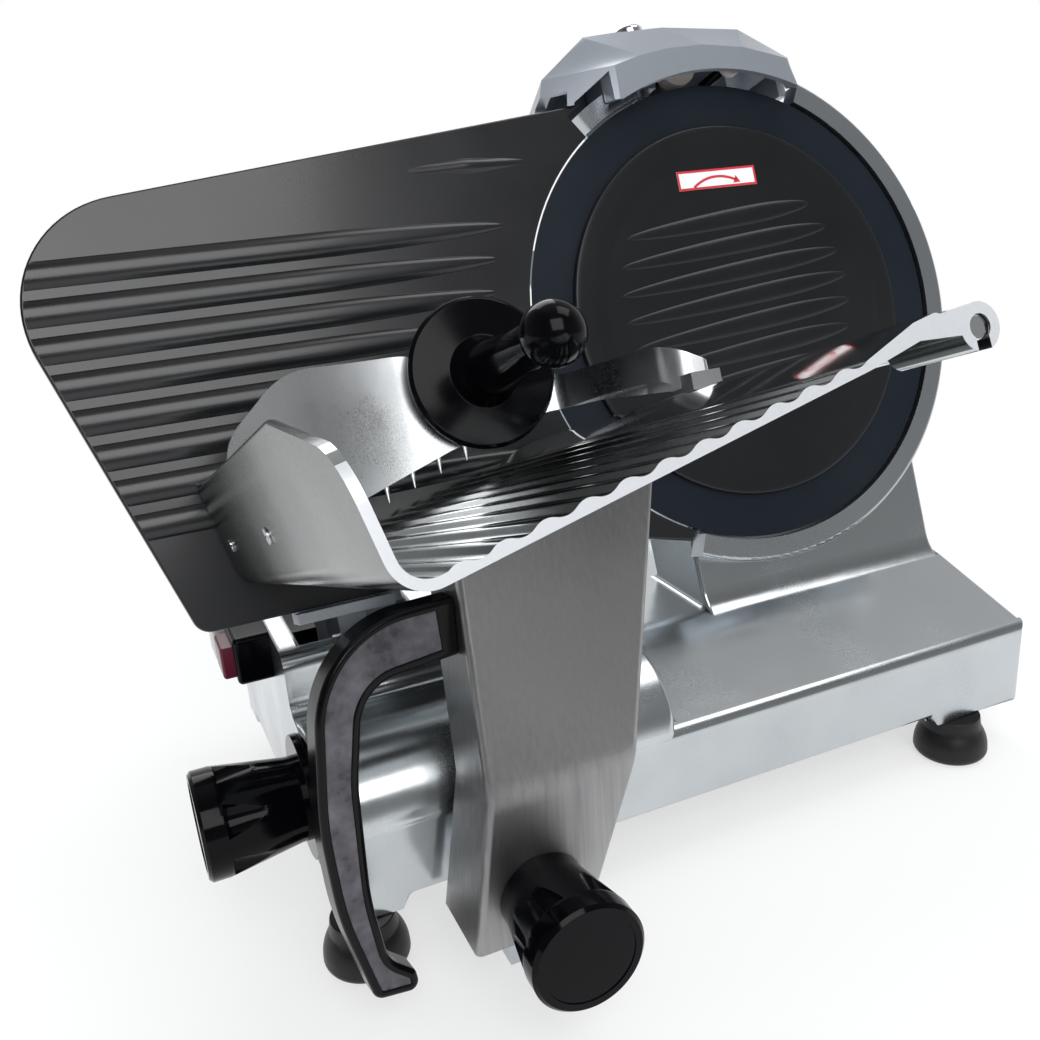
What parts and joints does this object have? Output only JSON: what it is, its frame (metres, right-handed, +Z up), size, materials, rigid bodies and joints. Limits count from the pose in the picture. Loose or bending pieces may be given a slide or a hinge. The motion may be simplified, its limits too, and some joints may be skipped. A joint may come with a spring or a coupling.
{
  "type": "electric meat slicer",
  "caption": "Gravity feed meat slicer: tilted blade, sliding food tray with pusher, adjustable gauge plate, sharpener and belt drive in a cast base.",
  "frame": {"origin": "midway between the four feet, on the plane they stand on", "axes": "+X the way the food tray slides past the blade, +Y away from the operator, +Z up"},
  "size_m": [0.4997, 0.4257, 0.3936],
  "materials": {
    "casting": "polished",
    "satin_aluminium": "satin",
    "bright_steel": "polished",
    "dark_coating": "non-stick, satin",
    "chrome": "polished",
    "black_plastic": "gloss",
    "black_grip": "satin",
    "grey_inlay": "satin",
    "black_rubber": "matte",
    "maroon_plastic": "satin",
    "pale_plastic": "satin",
    "brass": "machined",
    "stone": "rough abrasive"
  },
  "bodies": {
    "frame": {"base_casting": "casting", "bottom_cover": "satin_aluminium", "casting_screws": "bright_steel", "rubber_feet": "black_rubber", "blade_guard_ring": "satin_aluminium", "blade_spindle": "bright_steel", "blade_bearings": "bright_steel", "blade_cover": "dark_coating", "drive_belt": "black_rubber", "motor_body": "casting", "motor_capacitor": "pale_plastic", "slice_deflector": "satin_aluminium", "sharpener_post": "bright_steel", "carriage_slide_rod": "chrome", "carriage_guide_bar": "bright_steel", "gauge_slide_shaft": "bright_steel", "cord_gland": "black_plastic", "switch_housing": "black_plastic"},
    "blade": {"blade": "dark_coating", "blade_screws": "bright_steel", "blade_pulley": "satin_aluminium"},
    "rotor": {"motor_pulley": "satin_aluminium"},
    "cover_tie": {"cover_tie_knob": "black_plastic", "cover_tie_rod": "bright_steel"},
    "thickness": {"thickness_cam": "satin_aluminium", "thickness_dial": "black_plastic", "thickness_knob": "black_plastic"},
    "gauge": {"gauge_plate": "dark_coating", "gauge_slider": "satin_aluminium", "gauge_fasteners": "bright_steel"},
    "carriage": {"carriage_block": "satin_aluminium", "carriage_bushes": "brass", "carriage_arm": "satin_aluminium", "handle_grip": "black_grip", "handle_inlay": "grey_inlay", "food_tray": "satin_aluminium", "tray_screws": "bright_steel", "pusher_rod": "chrome"},
    "roller": {"carriage_roller": "black_plastic"},
    "arm_clamp": {"arm_knob": "black_plastic", "arm_knob_stud": "bright_steel"},
    "sleeve": {"pusher_sleeve": "chrome"},
    "pusher": {"pusher_arm": "chrome", "pusher_spikes": "bright_steel", "pusher_handle": "black_plastic"},
    "sharpener": {"sharpener_housing": "satin_aluminium"},
    "sharpener_clamp": {"sharpener_clamp_screw": "chrome"},
    "grinder": {"grinding_button": "black_plastic", "grinding_spring": "bright_steel"},
    "grinding_wheel": {"grinding_stone": "stone"},
    "deburrer": {"deburring_button": "black_plastic", "deburring_spring": "bright_steel"},
    "deburring_wheel": {"deburring_stone": "stone"},
    "stop": {"stop_button": "maroon_plastic", "stop_spring": "bright_steel"},
    "start": {"start_button": "pale_plastic", "start_spring": "bright_steel"}
  },
  "joints": [
    {"name": "blade_turn", "type": "hinge", "parent": "frame", "child": "blade", "pos_m": [0.105, 0.007, 0.242], "axis": [0, -0.9397, 0.342], "continuous": true},
    {"name": "motor_turn", "type": "hinge", "parent": "frame", "child": "rotor", "pos_m": [0.132, -0.00457, 0.10787], "axis": [0, -0.9397, 0.342], "continuous": true},
    {"name": "cover_tie_turn", "type": "hinge", "parent": "frame", "child": "cover_tie", "pos_m": [0.105, 0.07278, 0.21806], "axis": [0, -0.9397, 0.342], "continuous": true},
    {"name": "thickness_turn", "type": "hinge", "parent": "frame", "child": "thickness", "pos_m": [-0.18, -0.076, 0.074], "axis": [-1, 0, 0], "range_deg": [0, 300]},
    {"name": "gauge_slide", "type": "slide", "parent": "frame", "child": "gauge", "axis": [0, 0.9397, -0.342], "range_m": [0, 0.012]},
    {"name": "carriage_slide", "type": "slide", "parent": "frame", "child": "carriage", "axis": [1, 0, 0], "range_m": [0, 0.232]},
    {"name": "roller_turn", "type": "hinge", "parent": "carriage", "child": "roller", "pos_m": [-0.105, -0.0204, 0.0562], "axis": [0, 1, 0], "range_deg": [0, 1670]},
    {"name": "arm_clamp_turn", "type": "hinge", "parent": "carriage", "child": "arm_clamp", "pos_m": [-0.105, -0.155, 0.048], "axis": [0, -1, 0], "continuous": true},
    {"name": "sleeve_slide", "type": "slide", "parent": "carriage", "child": "sleeve", "axis": [0, -0.9397, 0.342], "range_m": [-0.028, 0.095]},
    {"name": "pusher_swing", "type": "hinge", "parent": "sleeve", "child": "pusher", "pos_m": [-0.01917, -0.14437, 0.23836], "axis": [0, 0.9397, -0.342], "range_deg": [0, 110]},
    {"name": "sharpener_slide", "type": "slide", "parent": "frame", "child": "sharpener", "axis": [0, -0.342, -0.9397], "range_m": [0, 0.006]},
    {"name": "sharpener_clamp_turn", "type": "hinge", "parent": "sharpener", "child": "sharpener_clamp", "pos_m": [0.078, 0.07556, 0.38359], "axis": [0, 0.342, 0.9397], "continuous": true},
    {"name": "grinding_press", "type": "slide", "parent": "sharpener", "child": "grinder", "axis": [0, -0.9397, 0.342], "range_m": [0, 0.0015], "stiffness_N_per_m": 800, "deforming": ["grinding_spring"]},
    {"name": "grinding_spin", "type": "hinge", "parent": "grinder", "child": "grinding_wheel", "pos_m": [0.097, 0.06189, 0.36941], "axis": [0, -0.9397, 0.342], "continuous": true},
    {"name": "deburring_pull", "type": "slide", "parent": "sharpener", "child": "deburrer", "axis": [0, 0.9397, -0.342], "range_m": [0, 0.0015], "stiffness_N_per_m": 800, "deforming": ["deburring_spring"]},
    {"name": "deburring_spin", "type": "hinge", "parent": "deburrer", "child": "deburring_wheel", "pos_m": [0.125, 0.04888, 0.36936], "axis": [0, -0.9397, 0.342], "continuous": true},
    {"name": "stop_press", "type": "slide", "parent": "frame", "child": "stop", "axis": [1, 0, 0], "range_m": [0, 0.003], "stiffness_N_per_m": 700, "deforming": ["stop_spring"]},
    {"name": "start_press", "type": "slide", "parent": "frame", "child": "start", "axis": [1, 0, 0], "range_m": [0, 0.003], "stiffness_N_per_m": 700, "deforming": ["start_spring"]}
  ],
  "couplings": [
    {"joint": "motor_turn", "follows": "blade_turn", "ratio": 3},
    {"joint": "thickness_turn", "follows": "gauge_slide", "rad_per_m": 436.33},
    {"joint": "roller_turn", "follows": "carriage_slide", "rad_per_m": 125}
  ]
}
